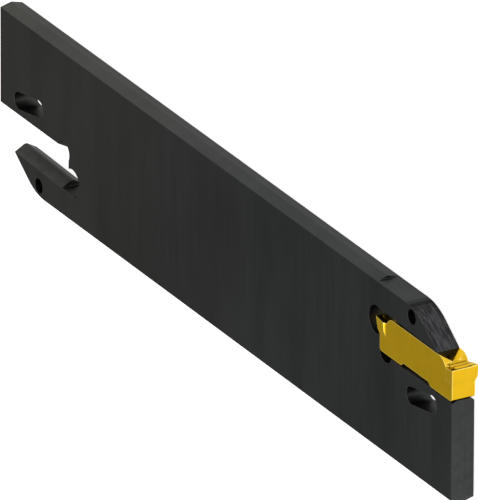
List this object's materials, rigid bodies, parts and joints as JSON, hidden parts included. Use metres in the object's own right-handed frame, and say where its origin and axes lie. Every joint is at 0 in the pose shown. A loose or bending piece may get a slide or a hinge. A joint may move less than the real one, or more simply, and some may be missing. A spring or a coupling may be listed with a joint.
{
  "type": "parting blade",
  "caption": "Flat reversible steel blade for parting off on a lathe, with bevelled clamping edges, spring-finger insert seats, key holes and a gold-coated carbide cutting insert.",
  "frame": {"origin": "below the middle of the whole part, on the surface that it lies on", "axes": "+X along the blade towards the end that holds the insert, +Y across the blade towards the clamping finger of that end, +Z through the blade's thickness, upwards from the surface it lies on"},
  "size_m": [0.1508, 0.0304, 0.005],
  "materials": {
    "blackened_steel": "hardened tool steel, ground and blackened, satin",
    "coated_carbide": "cemented carbide with a gold-coloured nitride coating, satin"
  },
  "bodies": {
    "root": {"blade_body": "blackened_steel", "cutting_insert": "coated_carbide"}
  },
  "joints": []
}
